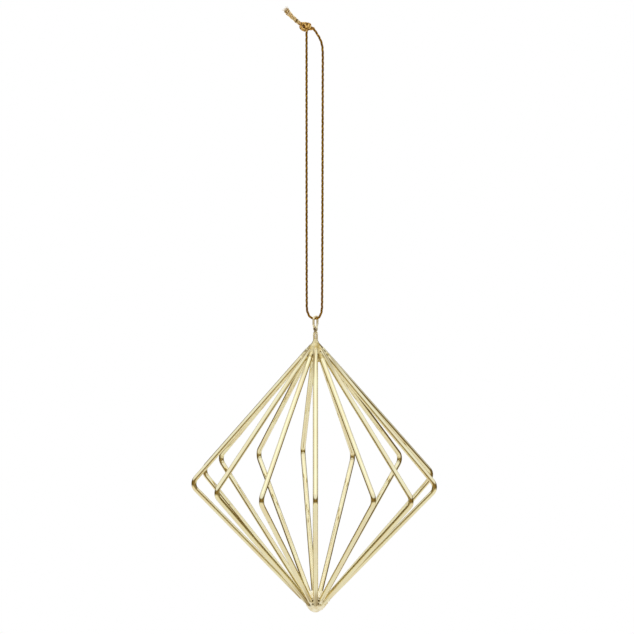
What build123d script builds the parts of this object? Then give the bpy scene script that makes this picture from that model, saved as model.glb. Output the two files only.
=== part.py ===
"""Hanging wire ornament: fourteen bent ribs brazed at two points, hung by a twisted eye from a cord loop.

Lengths are in millimetres. The origin is the top of the cord loop, where a hook holds it. Z is up and
the front of the ornament faces -Y.
"""
import os
from math import atan, cos, hypot, pi, radians, sin, tan

from build123d import *

os.makedirs("parts", exist_ok=True)

# Ribs
WIRE_DIAMETER = 2.0
ELBOW_RADIUS = 49.9      # axis to the sharp corner of a rib's centreline
UPPER_RISE = 54.8        # elbow level to the point that the upper legs aim at
LOWER_DROP = 54.2        # elbow level to the point that the lower legs aim at
ELBOW_BEND = 2.5         # bend radius of the centreline at the elbow
TIP_BEVEL = 0.4          # bevel of a rib's cut ends
WIRE_SIDES = 12          # flats that stand for the wire's round section
CROWDING_GAP = 0.05      # between two wires where they come closest
# Each rib's bearing from the front, to the right, in degrees, how far its elbow lies above the mean level, and
# how many degrees its seats lie round from that bearing, where its neighbours leave no room
RIBS = (
    (0, 1.5, 0), (27, 0.5, 0), (49, -2.5, 0), (72, -0.5, 0), (110, -2.4, 0), (136, 0.5, 0), (162, -1.0, 0),
    (186, 1.0, 0), (208, 0.5, 0), (231, 1.5, 0), (245, -1.5, 15), (283, 0.0, 0), (309, 0.5, 0), (335, 0.5, 0),
)

# Braze at the two ends
BRAZE_GAP = 0.05         # between a wire and the braze around it
BRAZE_FLOOR = 0.5        # braze left under a wire
BRAZE_RECESS = 0.3       # how far the braze between the ribs lies below their centrelines
BRAZE_LAP = 0.5          # how far the braze reaches past the tips that end furthest out
CROWN_LAP = 0.6          # how far the crown reaches past the tips that end furthest in
TOP_CROWN = 0.9          # height of the top crown above the ribs' centrelines
NECK_HEIGHT = 0.8        # top of the braze above the point that the ribs aim at
NECK_WALL = 0.2          # braze around the eye's two ends
NOSE_CROWN = 1.3         # height of the bottom crown above the ribs' centrelines
NOSE_RADIUS = 2.9
NOSE_FLAT = 0.07         # flat left at the tip of the nose

# Hanging eye
EYE_WIRE = 0.9
EYE_SIDES = 10           # flats that stand for its round section
EYE_SPAN = 3.0           # between the centrelines of its two legs
EYE_LEG = 3.75           # top of the arch down to where the legs turn in
EYE_TAPER = 1.1          # height in which the legs come together
TWIST_QUARTERS = 3
QUARTER_RISE = 1.2       # height of a quarter turn of the twist
TWIST_GAP = 0.08         # between the two twisted ends
EYE_SET = 1.8            # how deep the two ends are set in the braze
NECK_GAP = 0.03          # from the braze up to where the twist begins to bend
EYE_TURN = 30            # degrees that the eye is turned from edge-on

# Cord
CORD_DIAMETER = 0.75
CORD_SIDES = 8           # flats that stand for its round section
LOOP_DROP = 114.0        # origin down to the cord's centreline under the eye
STRAND_SPACING = 6.25
BIGHT_RADIUS = 2.7
BIGHT_RISE = 3.2         # height of the turn through the eye
HANG_GAP = 0.3           # between the cord and the eye's arch
BEND_SHARE = 0.45        # part of a run that its bend may take at each end

# Knot: its winding is placed by its centre, and its two ends are drawn from there
KNOT_CORD = 0.9          # the doubled cord, drawn tight
KNOT_CENTRE = (-3.5, 0.0, 1.0)
KNOT_RING = 1.7          # radius that the knot winds around
KNOT_WIND = 0.8          # radius of its winding
KNOT_LEAN = 8            # degrees that the knot leans to the front
KNOT_OPENING = 20        # degrees of the winding left out at each end
KNOT_POINTS = 21
KNOT_ENTRY = ((2.9, 1.6, -0.9), (1.6, 2.5, -0.9), (-0.2, 2.6, -0.85))
KNOT_EXIT = ((0.2, 2.6, 0.85), (-1.6, 2.5, 0.95), (-2.8, 1.6, 1.1))
KNOT_SAMPLES = 240       # points at which its distance to itself is measured

# Cord between the straight runs and the knot, and the two free ends
LEFT_TOP = 0.8           # height at which the left run ends in the knot
RIGHT_TOP = -8.8         # height at which the right run begins to bend
RIGHT_BEND = ((2.75, 0.3, -5.6), (1.5, 0.9, -2.8), (-0.7, 1.7, 0.3))
TAIL_ROUTES = {
    "cord_tail_upper": ((-6.0, 1.4, 2.7), (-7.8, 1.4, 4.5), (-9.6, 1.2, 6.0), (-11.0, 1.3, 8.0)),
    "cord_tail_lower": ((-6.5, 1.4, 2.0), (-8.5, 1.3, 3.6), (-10.4, 1.3, 5.4), (-11.9, 1.0, 7.2)),
}

# Heights, from the hook down
twist_radius = (EYE_WIRE + TWIST_GAP) / 2
corner_reach = twist_radius / cos(pi / 4)
quarter_run = hypot(2 * twist_radius, QUARTER_RISE)
bight_z = -LOOP_DROP
bight_top_z = bight_z + BIGHT_RISE
arch_z = bight_z + CORD_DIAMETER / 2 + HANG_GAP + EYE_WIRE / 2
twist_top_z = arch_z - EYE_LEG - EYE_TAPER
twist_bottom_z = twist_top_z - TWIST_QUARTERS * QUARTER_RISE
neck_top_z = twist_bottom_z - BEND_SHARE * quarter_run - NECK_GAP
eye_end_z = neck_top_z - EYE_SET
upper_apex_z = neck_top_z - NECK_HEIGHT
elbow_z = upper_apex_z - UPPER_RISE
lower_apex_z = elbow_z - LOWER_DROP


def seat_bearing(rib):
    """Bearing of the seats of a rib's two tips, in degrees."""
    bearing, _, seat_turn = RIBS[rib % len(RIBS)]
    return bearing + seat_turn


def seat_gap(first, second):
    """Angle between the seats of two ribs, in degrees."""
    turn = abs(seat_bearing(first) - seat_bearing(second))
    return min(turn, 360 - turn)


def tip_radius(rib):
    """Distance from the axis at which a rib is cut off: every second rib runs on between its neighbours."""
    stride = 1 + (rib + 1) % 2
    nearest = min(seat_gap(rib, rib - stride), seat_gap(rib, rib + stride))
    return (WIRE_DIAMETER + CROWDING_GAP) / (2 * sin(radians(nearest / 2)))


def around(bearing, radius, z):
    """Point at a bearing from the front, a distance from the axis and a height."""
    return Vector(radius * sin(radians(bearing)), -radius * cos(radians(bearing)), z)


def rib_corner(rib):
    """Sharp corner of a rib's centreline."""
    bearing, lift, _ = RIBS[rib]
    return around(bearing, ELBOW_RADIUS, elbow_z + lift)


def leg_tip(rib, apex_z):
    """End of a rib's leg in its seat, as high as the line from its corner to the apex is there."""
    radius = tip_radius(rib)
    return around(seat_bearing(rib), radius, apex_z + (rib_corner(rib).Z - apex_z) * radius / ELBOW_RADIUS)


def corner_radii(points):
    """Largest bend for each corner of a route that leaves the middle of every run straight."""
    route = [Vector(*point) for point in points]
    radii = []
    for before, corner, after in zip(route, route[1:], route[2:]):
        turn = (corner - before).get_angle(after - corner)
        shorter = min((corner - before).length, (after - corner).length)
        radii.append(BEND_SHARE * shorter / tan(radians(turn / 2)))
    return radii


# Ribs: one wire each, bent once, with filed cut ends
for rib_index in range(len(RIBS)):
    rib_name = f"rib_{rib_index + 1:02d}"
    with BuildPart() as rib:
        with BuildLine() as rib_line:
            FilletPolyline(leg_tip(rib_index, upper_apex_z), rib_corner(rib_index),
                           leg_tip(rib_index, lower_apex_z), radius=ELBOW_BEND)
        with BuildSketch(Plane(origin=rib_line.line @ 0, z_dir=rib_line.line % 0)):
            RegularPolygon(WIRE_DIAMETER / 2, WIRE_SIDES)
        sweep()
        cut_ends = rib.faces().sort_by(lambda face: abs(face.center().X) + abs(face.center().Y))[:2]
        chamfer(cut_ends.edges(), TIP_BEVEL)
    rib.part.label = rib_name
    export_step(rib.part, f"parts/{rib_name}.step")


# Hanging eye: one wire, up one side of the twist, over the arch and down the other side
def eye_point(radius, quarter, z):
    """Point of the eye's front half, turned back from the front leg by quarter turns."""
    angle = radians(270 - EYE_TURN) - quarter * pi / 2
    return (radius * cos(angle), radius * sin(angle), z)


front_half = [eye_point(EYE_SPAN / 2, 0, arch_z), eye_point(EYE_SPAN / 2, 0, arch_z - EYE_LEG)]
for quarter in range(TWIST_QUARTERS + 1):
    front_half.append(eye_point(corner_reach, quarter, twist_top_z - quarter * QUARTER_RISE))
front_half.append(eye_point(corner_reach, TWIST_QUARTERS, eye_end_z))
rear_half = [(-x, -y, z) for x, y, z in front_half]
eye_route = front_half[::-1] + rear_half

with BuildPart() as hanging_eye:
    with BuildLine() as eye_line:
        FilletPolyline(eye_route, radius=corner_radii(eye_route))
    with BuildSketch(Plane(origin=eye_line.line @ 0, z_dir=eye_line.line % 0)):
        RegularPolygon(EYE_WIRE / 2, EYE_SIDES)
    sweep()
hanging_eye.part.label = "hanging_eye"
export_step(hanging_eye.part, "parts/hanging_eye.step")

# Braze: a crown over the tips that end furthest in, a dished skirt that seats the other tips
tip_radii = [tip_radius(rib_index) for rib_index in range(len(RIBS))]
crown_radius = max(tip_radii[0::2]) + CROWN_LAP
rim_radius = max(tip_radii[1::2]) + BRAZE_LAP
upper_slope = UPPER_RISE / ELBOW_RADIUS
lower_slope = LOWER_DROP / ELBOW_RADIUS


def crown_height(slope, crown, radius):
    """Height beyond the apex, at a radius, of a cone that lies above the ribs' centrelines."""
    return crown * hypot(1, slope) - slope * radius


def skirt_outline(slope, crown):
    """Half section of a braze from its crown round to its inside, as radius and height beyond the apex."""
    under = -WIRE_DIAMETER / 2 - BRAZE_FLOOR
    recess_radius = (crown_radius + rim_radius) / 2 - BRAZE_FLOOR
    inner_rim = rim_radius - BRAZE_FLOOR
    inner_floor = crown_height(slope, under, WIRE_DIAMETER)
    return [
        (crown_radius, crown_height(slope, crown, crown_radius)),
        (recess_radius, crown_height(slope, -BRAZE_RECESS, recess_radius)),
        (rim_radius, crown_height(slope, -BRAZE_RECESS, rim_radius)),
        (inner_rim, crown_height(slope, under, inner_rim)),
        (WIRE_DIAMETER, inner_floor),
        (0, inner_floor),
    ]


def cut_leg_seats(apex_z):
    """Cut the seats of all the legs that meet at one apex out of the braze being built."""
    for rib_index in range(len(RIBS)):
        tip = leg_tip(rib_index, apex_z)
        along = (rib_corner(rib_index) - tip).normalized()
        with Locations(Plane(origin=tip - along * BRAZE_GAP, z_dir=along)):
            Cylinder(WIRE_DIAMETER / 2 + BRAZE_GAP, 3 * rim_radius,
                     align=(Align.CENTER, Align.CENTER, Align.MIN), mode=Mode.SUBTRACT)


# Top braze, drawn up into a neck around the foot of the eye
neck_radius = corner_reach + EYE_WIRE / 2 + NECK_WALL
shoulder_radius = neck_radius + CROWN_LAP
top_outline = [
    (0, NECK_HEIGHT), (neck_radius, NECK_HEIGHT),
    (shoulder_radius, crown_height(upper_slope, TOP_CROWN, shoulder_radius)),
    *skirt_outline(upper_slope, TOP_CROWN),
]
with BuildPart() as top_braze:
    with BuildSketch(Plane.XZ):
        with BuildLine():
            Polyline([(radius, upper_apex_z + height) for radius, height in top_outline], close=True)
        make_face()
    revolve(axis=Axis.Z)
    cut_leg_seats(upper_apex_z)
    with Locations([(x, y, z - BRAZE_GAP) for x, y, z in (front_half[-1], rear_half[-1])]):
        Cylinder(EYE_WIRE / 2 + BRAZE_GAP, 2 * EYE_SET, align=(Align.CENTER, Align.CENTER, Align.MIN),
                 mode=Mode.SUBTRACT)
top_braze.part.label = "top_braze"
export_step(top_braze.part, "parts/top_braze.step")

# Bottom braze, rounded off into a nose
nose_edge = NOSE_RADIUS * tan(atan(lower_slope) / 2) + NOSE_FLAT
nose_height = crown_height(lower_slope, NOSE_CROWN, nose_edge)
bottom_outline = [(0, nose_height), (nose_edge, nose_height), *skirt_outline(lower_slope, NOSE_CROWN)]
with BuildPart() as bottom_braze:
    with BuildSketch(Plane.XZ) as bottom_section:
        with BuildLine():
            Polyline([(radius, lower_apex_z - height) for radius, height in bottom_outline], close=True)
        make_face()
        fillet(bottom_section.vertices().sort_by(Axis.X)[2], NOSE_RADIUS)
    revolve(axis=Axis.Z)
    cut_leg_seats(lower_apex_z)
bottom_braze.part.label = "bottom_braze"
export_step(bottom_braze.part, "parts/bottom_braze.step")


# Cord
def line_length(line):
    return sum(edge.length for edge in line.edges())


def report_cord(name, part, line, diameter, radii):
    """Print a cord's length, how its volume compares with its section times its length, and its bends."""
    length = line_length(line)
    section = CORD_SIDES / 2 * (diameter / 2) ** 2 * sin(2 * pi / CORD_SIDES)
    share = part.volume / (section * length)
    bends = ", ".join(f"{radius:.2f}" for radius in radii)
    print(f"{name}: length {length:.1f}, volume over section times length {share:.4f}, radii {bends}")


# Turn through the eye
strand_x = STRAND_SPACING / 2
with BuildPart() as cord_bight:
    with BuildLine() as bight_line:
        FilletPolyline((-strand_x, 0, bight_top_z), (-strand_x, 0, bight_z), (strand_x, 0, bight_z),
                       (strand_x, 0, bight_top_z), radius=BIGHT_RADIUS)
    with BuildSketch(Plane(origin=bight_line.line @ 0, z_dir=bight_line.line % 0)):
        RegularPolygon(CORD_DIAMETER / 2, CORD_SIDES)
    sweep()
cord_bight.part.label = "cord_bight"
export_step(cord_bight.part, "parts/cord_bight.step")
report_cord("cord_bight", cord_bight.part, bight_line.line, CORD_DIAMETER, [BIGHT_RADIUS])

# Straight run on the left, up into the middle of the knot
with BuildPart() as cord_left_strand:
    with BuildLine() as left_line:
        Line((-strand_x, 0, bight_top_z), (-strand_x, 0, LEFT_TOP))
    with BuildSketch(Plane(origin=left_line.line @ 0, z_dir=left_line.line % 0)):
        RegularPolygon(CORD_DIAMETER / 2, CORD_SIDES)
    sweep()
cord_left_strand.part.label = "cord_left_strand"
export_step(cord_left_strand.part, "parts/cord_left_strand.step")
report_cord("cord_left_strand", cord_left_strand.part, left_line.line, CORD_DIAMETER, [])

# Straight run on the right, bent over at the top into the knot
right_route = [(strand_x, 0, bight_top_z), (strand_x, 0, RIGHT_TOP), *RIGHT_BEND]
right_radii = corner_radii(right_route)
with BuildPart() as cord_right_strand:
    with BuildLine() as right_line:
        FilletPolyline(right_route, radius=right_radii)
    with BuildSketch(Plane(origin=right_line.line @ 0, z_dir=right_line.line % 0)):
        RegularPolygon(CORD_DIAMETER / 2, CORD_SIDES)
    sweep()
cord_right_strand.part.label = "cord_right_strand"
export_step(cord_right_strand.part, "parts/cord_right_strand.step")
report_cord("cord_right_strand", cord_right_strand.part, right_line.line, CORD_DIAMETER, right_radii)

# Overhand knot: the doubled cord winds twice round a ring and three times through it
knot_plane = Plane(origin=KNOT_CENTRE, x_dir=(1, 0, 0),
                   z_dir=(0, -sin(radians(KNOT_LEAN)), cos(radians(KNOT_LEAN))))
winding = []
for point in range(KNOT_POINTS):
    wound = radians(KNOT_OPENING + (360 - 2 * KNOT_OPENING) * point / (KNOT_POINTS - 1))
    reach = KNOT_RING + KNOT_WIND * cos(3 * wound)
    turned = 2 * wound + pi / 2
    winding.append((reach * cos(turned), reach * sin(turned), -KNOT_WIND * sin(3 * wound)))
local_route = [*KNOT_ENTRY, *winding, *KNOT_EXIT]
knot_route = [tuple(Vector(knot_plane.from_local_coords(point))) for point in local_route]
knot_radii = corner_radii(knot_route)
with BuildPart() as cord_knot:
    with BuildLine() as knot_line:
        FilletPolyline(knot_route, radius=knot_radii)
    with BuildSketch(Plane(origin=knot_line.line @ 0, z_dir=knot_line.line % 0)):
        RegularPolygon(KNOT_CORD / 2, CORD_SIDES)
    sweep()
cord_knot.part.label = "cord_knot"
export_step(cord_knot.part, "parts/cord_knot.step")
report_cord("cord_knot", cord_knot.part, knot_line.line, KNOT_CORD, knot_radii)

knot_points = [knot_line.line @ (step / KNOT_SAMPLES) for step in range(KNOT_SAMPLES + 1)]
neighbours = round(2.5 * KNOT_CORD / line_length(knot_line.line) * KNOT_SAMPLES)
least_distance = min((first - second).length for index, first in enumerate(knot_points)
                     for second in knot_points[index + neighbours:])
print(f"cord_knot: least gap to itself {least_distance - KNOT_CORD:.2f}")

# Two short free ends
for tail_name, tail_route in TAIL_ROUTES.items():
    tail_radii = corner_radii(tail_route)
    with BuildPart() as cord_tail:
        with BuildLine() as tail_line:
            FilletPolyline(tail_route, radius=tail_radii)
        with BuildSketch(Plane(origin=tail_line.line @ 0, z_dir=tail_line.line % 0)):
            RegularPolygon(CORD_DIAMETER / 2, CORD_SIDES)
        sweep()
    cord_tail.part.label = tail_name
    export_step(cord_tail.part, f"parts/{tail_name}.step")
    report_cord(tail_name, cord_tail.part, tail_line.line, CORD_DIAMETER, tail_radii)
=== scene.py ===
"""Looks of a hanging wire ornament.

Fourteen bent gold ribs meet in a brazed cone at the top and a brazed nose at the bottom. A twisted wire
eye hangs in a loop of metallic cord, which an overhand knot with two frayed ends closes.
Sizes are in millimetres and angles in degrees unless a comment says otherwise, and MM turns sizes
into metres.
Colours are linear, and the scales of textures are counted per metre.
"""
from math import cos, pi, radians, sin

import bmesh
import bpy
from mathutils import Matrix, Vector, noise


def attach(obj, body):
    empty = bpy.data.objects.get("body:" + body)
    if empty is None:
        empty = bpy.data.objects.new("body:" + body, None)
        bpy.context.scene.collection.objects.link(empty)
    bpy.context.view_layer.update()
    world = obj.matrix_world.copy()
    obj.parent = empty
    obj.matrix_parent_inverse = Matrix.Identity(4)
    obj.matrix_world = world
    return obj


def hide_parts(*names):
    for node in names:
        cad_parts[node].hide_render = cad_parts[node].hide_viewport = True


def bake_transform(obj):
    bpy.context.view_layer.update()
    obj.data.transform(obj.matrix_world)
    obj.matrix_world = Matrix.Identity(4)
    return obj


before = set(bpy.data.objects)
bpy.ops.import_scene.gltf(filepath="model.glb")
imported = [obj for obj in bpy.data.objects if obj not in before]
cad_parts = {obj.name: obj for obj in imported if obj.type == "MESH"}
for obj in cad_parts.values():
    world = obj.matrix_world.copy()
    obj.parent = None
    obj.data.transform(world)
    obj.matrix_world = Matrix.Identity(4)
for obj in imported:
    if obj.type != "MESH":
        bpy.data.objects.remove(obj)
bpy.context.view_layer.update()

MM = 0.001

# Ribs: each one's bearing from the front, to the right, how far its elbow lies above the mean, and the
# angle from that bearing round to its seats
RIBS = (
    (0, 1.5, 0), (27, 0.5, 0), (49, -2.5, 0), (72, -0.5, 0), (110, -2.4, 0), (136, 0.5, 0),
    (162, -1.0, 0), (186, 1.0, 0), (208, 0.5, 0), (231, 1.5, 0), (245, -1.5, 15), (283, 0.0, 0),
    (309, 0.5, 0), (335, 0.5, 0),
)
WIRE_DIAMETER = 2.0
CROWDING_GAP = 0.05
ELBOW_RADIUS = 50.3      # distance of the elbows' corners from the axis
ELBOW_BEND = 3.5
ELBOW_POINTS = 12
UPPER_APEX_Z = -122.85
ELBOW_Z = -177.65
LOWER_APEX_Z = -231.85
TIP_ROUND = 0.7
TIP_LEAST = 0.25         # share of a wire's section that is left at its very tips
RIB_STEP = 0.35
RIB_SIDES = 20
RIB_WANDER = 0.35
WANDER_SCALE = 25.0
# Heat tint and painted shade: streaks that darken the wires near the brazed ends, partly for the shade
# where crowded wires reflect each other
HEAT_TINT_AND_SHADE = (0.24, 0.135, 0.01, 1.0)
TINT_AND_SHADE_START = 38.0        # heat tint and painted shade darken the wires from this far above and below the cage's middle
TINT_AND_SHADE_FULL = 54.0
TINT_AND_SHADE_SHARE = 0.9
STREAK_STRETCH = (1.0, 1.0, 0.05)        # factors on a place, where a small one draws a pattern out
STREAK_SCALE = 1000.0
STREAK_EDGE = (0.49, 0.57)               # levels of the noise between which a streak sets in

# Braze: half sections as radius and height beyond the apex, beads as bearing, radius, height and size,
# and spots of dark flux and painted shade in the hollows between the ribs' ends as bearing, radius and size
TOP_SECTION = (
    (0, 1.4), (0.6, 1.3), (0.8, 0.9), (0.95, 0.5), (1.2, 0.0), (1.5, -0.55), (1.9, -1.1), (2.35, -1.75),
    (2.8, -2.4), (3.4, -3.3), (4.4, -4.7), (5.6, -6.3), (5.3, -7.3), (2.0, -4.6), (0, -4.4),
)
NOSE_SECTION = (
    (0, 0.5), (1.0, 0.38), (2.0, -0.2), (2.9, -1.15), (3.6, -2.2), (3.9, -3.0), (3.9, -3.7), (4.4, -4.5),
    (5.6, -6.2), (5.3, -7.2), (2.0, -4.4), (0, -4.0),
)
TOP_BEADS = (
    (13, 3.9, -4.0, 0.7), (36, 3.3, -3.3, 0.55), (15, 5.0, -5.4, 0.6), (120, 3.2, -3.0, 0.6),
    (200, 3.8, -4.0, 0.7),
)
NOSE_BEADS = (
    (80, 2.4, -1.35, 0.9), (80, 3.0, -2.1, 0.9), (80, 3.6, -2.85, 0.9), (80, 4.3, -3.65, 0.85),
    (78, 5.1, -4.7, 0.8), (76, 6.0, -5.85, 0.7), (74, 7.0, -7.1, 0.55), (150, 3.5, -3.4, 0.65),
    (240, 3.9, -4.2, 0.6),
)
# Spots of dark flux and painted shade in the hollows between the ribs' ends, at the top and at the nose
TOP_FLUX_AND_SHADE = (
    (10, 3.3, 0.6), (30, 1.6, 0.5), (60, 3.0, 0.6), (95, 3.4, 0.6), (150, 2.8, 0.6), (195, 3.2, 0.6),
    (230, 2.7, 0.6), (270, 3.3, 0.6), (300, 2.6, 0.6), (332, 1.9, 0.45), (346, 4.4, 0.6), (13, 5.0, 0.7),
    (38, 4.7, 0.7), (60, 4.9, 0.7), (296, 4.9, 0.7), (322, 4.7, 0.8),
)
NOSE_FLUX_AND_SHADE = (
    (14, 4.0, 0.9), (40, 3.7, 0.9), (112, 3.3, 0.6), (150, 3.9, 0.7), (200, 3.5, 0.7), (240, 4.0, 0.7),
    (285, 3.6, 0.8), (322, 3.5, 1.2), (347, 3.9, 0.9), (13, 5.2, 0.9), (38, 5.0, 0.9), (60, 5.1, 0.9),
    (296, 5.1, 0.9), (322, 5.0, 1.0), (347, 5.2, 0.9),
)
# Colour of dark flux and painted shade in the hollows between the ribs' ends
FLUX_AND_SHADE_COLOUR = (0.1, 0.06, 0.01, 1.0)
SPOT_LIFT = 0.3          # how far a spot's middle lies outside the ribs' centrelines
SPOT_EDGE = 0.6          # share of its size over which a spot fades
LATHE_STEPS = 40
WELD_REACH = 0.01
STUB_INSIDE = 1.9        # from a rib's tip in towards the apex, where the braze that follows it begins
STUB_LENGTH = 5.0
STUB_START = 0.85        # radius of that braze at its inner end
STUB_SHARE = 0.96        # share of the wire's section at its outer end, inside the wire
STUB_SIDES = 16
BEAD_SPLITS = 2
BRAZE_VOXEL = 0.16
BRAZE_FLOW = 0.5         # strength of each pass of smoothing
BRAZE_SMOOTHING = 4
BRAZE_LUMPS = 0.07       # height of the unevenness that is left
LUMP_SIZE = 1.3
BRAZE_SCALES = {"Line Scale": 900.0, "Cloud Scale": 500.0, "Pit Scale": 700.0, "Pit Size": 0.16}
BRAZE_ROUGHNESS = (0.16, 0.28)
BRAZE_BUMP = 0.4

# Hanging eye, whose wire goes down from the arch in two legs that close in a twist
EYE_WIRE = 0.9
EYE_SPAN = 3.0
EYE_LEG = 3.3
EYE_TAPER = 0.8          # from the foot of the legs down to the twist
EYE_TURN = 30            # from the front to the left, where the front leg stands
ARCH_Z = -112.875
EYE_END_Z = -123.85
TWIST_QUARTERS = 3
QUARTER_DROP = 1.0
TWIST_REACH = 0.69       # from the axis to each wire of the twist
END_REACH = 0.47
EYE_STEP = 0.12
EYE_SIDES = 16
EYE_SHADOW_SPOT = (-0.25, -0.75, -118.0)      # painted shadow in the front of the twist, where its wires cross
EYE_SHADOW_SIZE = 1.3
EYE_SHADOW_COLOUR = (0.34, 0.25, 0.12, 1.0)

# Cord: control points of its line from the knot down the left, through the eye and up the right
LOOP_ROUTE = (
    (-3.45, 0, 0.8), (-3.5, 0, -107.5), (-3.3, 0, -111.1), (-1.8, 0, -113.65), (1.3, 0, -113.65),
    (2.45, 0, -111.1), (2.65, 0, -107.5), (2.85, 0, -12.0), (2.85, 0, -8.8), (2.6, 0.3, -5.6),
    (1.5, 0.9, -2.8), (-0.7, 1.7, 0.3),
)
ROUTE_FINENESS = 16      # points of a smooth line for each of its control points
PLIES = 3
PLY_OFFSET = 0.265
PLY_PITCH = 6.4
STRANDS = 3
STRAND_OFFSET = 0.1
STRAND_PITCH = 1.6
STRAND_RADIUS = 0.138
STRAND_SIDES = 6
CORD_STEP = 0.22

# Knot: a doubled cord wound twice round a ring and three times through it
KNOT_CENTRE = (-3.5, 0.0, 1.0)
KNOT_LEAN = 8            # of the ring, towards the front
KNOT_RING = 1.7
KNOT_WIND = 0.8          # from the ring to the cord that winds through it
KNOT_ROUND = 2
KNOT_THROUGH = 3
KNOT_OPENING = 20        # left out at the start and the end of the winding
KNOT_POINTS = 21
KNOT_ENTRY = ((2.9, 1.6, -0.9), (1.6, 2.5, -0.9), (-0.2, 2.6, -0.85))
KNOT_EXIT = ((0.2, 2.6, 0.85), (-1.6, 2.5, 0.95), (-2.8, 1.6, 1.1))
KNOT_PLIES = 6           # of the doubled cord
KNOT_PLY_OFFSET = 0.4
KNOT_PLY_PITCH = 9.0

# Two frayed ends
TAILS = {
    "tail_upper": ((-6.0, 1.4, 2.7), (-7.8, 1.4, 4.4), (-9.6, 1.2, 5.9), (-11.0, 1.3, 7.8)),
    "tail_lower": ((-6.4, 1.4, 2.1), (-8.4, 1.3, 3.8), (-10.2, 1.3, 5.5), (-11.7, 1.0, 7.2)),
}
TAIL_FLARE = 1.7
FLARE_START = 0.35       # share of a tail's length before its strands open
FIBRES = 46
FIBRE_LENGTH = 1.6
FIBRE_SHORTEST = 0.35    # length of the shortest fibre as a share of the longest
FIBRE_RADIUS = 0.03
FIBRE_SIDES = 4
FIBRE_SPREAD = 0.75
FIBRE_ROOT = 0.35        # how far the roots scatter
FIBRE_START = 0.96       # place of the roots as a share of a tail's length
FIBRE_CURL = {"Start": (0.0, 0.0, 0.0), "Middle": (0.16, 0.0, 0.5), "End": (0.0, 0.1, 1.0)}
FIBRE_POINTS = 5

# Satin plating
LINE_STRETCH = (1.0, 1.0, 0.02)
LINE_EDGE = (0.3, 0.7)           # levels of the noise from the least roughness to the most
CLOUD_DETAIL = 3.0
CLOUD_EDGE = (0.35, 0.7)         # levels of the noise from the base colour to its shade
PIT_RARITY = 0.55        # share of the cells that have no pit
PIT_DEPTH = 3.0          # of a pit against the draw lines
PIT_COLOUR = (0.12, 0.09, 0.04, 1.0)
PIT_ROUGHNESS = 0.3
METAL_RELIEF = 0.04

# Metallic yarn
STRAND_SHIFT = 0.37      # in metres along the pattern, from one strand to the next
FLECK_STRETCH = (0.3, 0.3, 1.0)
FLECK_SCALE = 1500.0
FLECK_DETAIL = 1.0
FLECK_EDGE = 0.05
PATCH_SCALE = 900.0
NO_FOIL = 0.78           # level of the flecks above which foil shows when its share is 0
FOIL_REACH = 0.55        # how much a full share lowers that level
YARN_TONE_SCALE = 350.0
YARN_TONE_EDGE = (0.35, 0.65)    # levels of the noise from the core's dark to its light colour
GRAIN_STRETCH = (1.0, 1.0, 0.1)
GRAIN_SCALE = 9000.0
YARN_ROUGHNESS = (0.5, 0.25)     # of the core and of the foil
YARN_BUMP = 0.3
YARN_RELIEF = 0.02
YARN_SHEEN = 0.35
SHEEN_ROUGHNESS = 0.5
YARN_RIM = (1.0, 0.5, 0.12, 1.0)         # colour of the yarn seen at a grazing angle

# Camera, in degrees, metres and millimetres of lens
VIEW_ELEVATION = 9.79
VIEW_TARGET = (0.0006, 0.0, -0.113)
VIEW_DISTANCE = 1.4715
LENS = 212.6
SENSOR = 36.0

# Stage, in metres and watts
FLOOR_Z = -0.62
FLOOR_RADIUS = 0.7
FLOOR_SEGMENTS = 96
FLOOR_COLOUR = (0.93, 0.9, 0.84, 1.0)
FLOOR_ROUGHNESS = 0.7
FLOOR_FADE = (0.4, 0.98)         # shares of its radius between which it turns white
LAMP_PLACE = (-0.1, -0.25, 0.9)
LAMP_SIZE = 0.6
LAMP_POWER = 0.3
# Light of the surroundings: sine of the height above the horizon, and colour
STUDIO = (
    (-1.0, (1.08, 1.04, 0.94)), (-0.5, (0.98, 0.94, 0.84)), (-0.24, (0.14, 0.098, 0.03)),
    (0.16, (0.13, 0.09, 0.028)), (0.38, (0.92, 0.96, 1.06)), (0.75, (0.95, 0.99, 1.11)),
    (1.0, (1.16, 1.18, 1.26)),
)
STUDIO_FRONT = (0.27, 0.18, 0.06, 1.0)   # least light from the front, where the room is not so dim
STUDIO_FRONT_REACH = (-0.5, -0.9)        # y of the directions between which that light comes in
WHITE = (1.0, 1.0, 1.0, 1.0)

# Places of sockets that share their names with others: the colours of a mix node and the numbers of a
# random node
COLOUR_A = 6
COLOUR_B = 7
COLOUR_RESULT = 2
NUMBER_MIN = 2
NUMBER_MAX = 3
NUMBER_RESULT = 1


def add(tree, kind, sockets=None, **settings):
    """Add a node with its settings, and link or set the inputs that are named."""
    made = tree.nodes.new(kind)
    for name, value in settings.items():
        setattr(made, name, value)
    for key, value in (sockets or {}).items():
        if isinstance(value, bpy.types.NodeSocket):
            tree.links.new(value, made.inputs[key])
        else:
            made.inputs[key].default_value = value
    return made


def calc(tree, operation, *values):
    """One step of arithmetic on numbers."""
    return add(tree, "ShaderNodeMath", dict(enumerate(values)), operation=operation).outputs[0]


def vector_calc(tree, operation, *values):
    """One step of arithmetic on vectors."""
    return add(tree, "ShaderNodeVectorMath", dict(enumerate(values)), operation=operation).outputs[0]


def scaled(tree, vector, factor):
    """A vector times a number."""
    return add(tree, "ShaderNodeVectorMath", {0: vector, "Scale": factor}, operation="SCALE").outputs[0]


def upright(tree, height):
    """Vector straight up to a height."""
    return add(tree, "ShaderNodeCombineXYZ", {"Z": height}).outputs[0]


def parts(tree, vector):
    """The X, Y and Z of a vector."""
    return add(tree, "ShaderNodeSeparateXYZ", {"Vector": vector}).outputs


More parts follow.
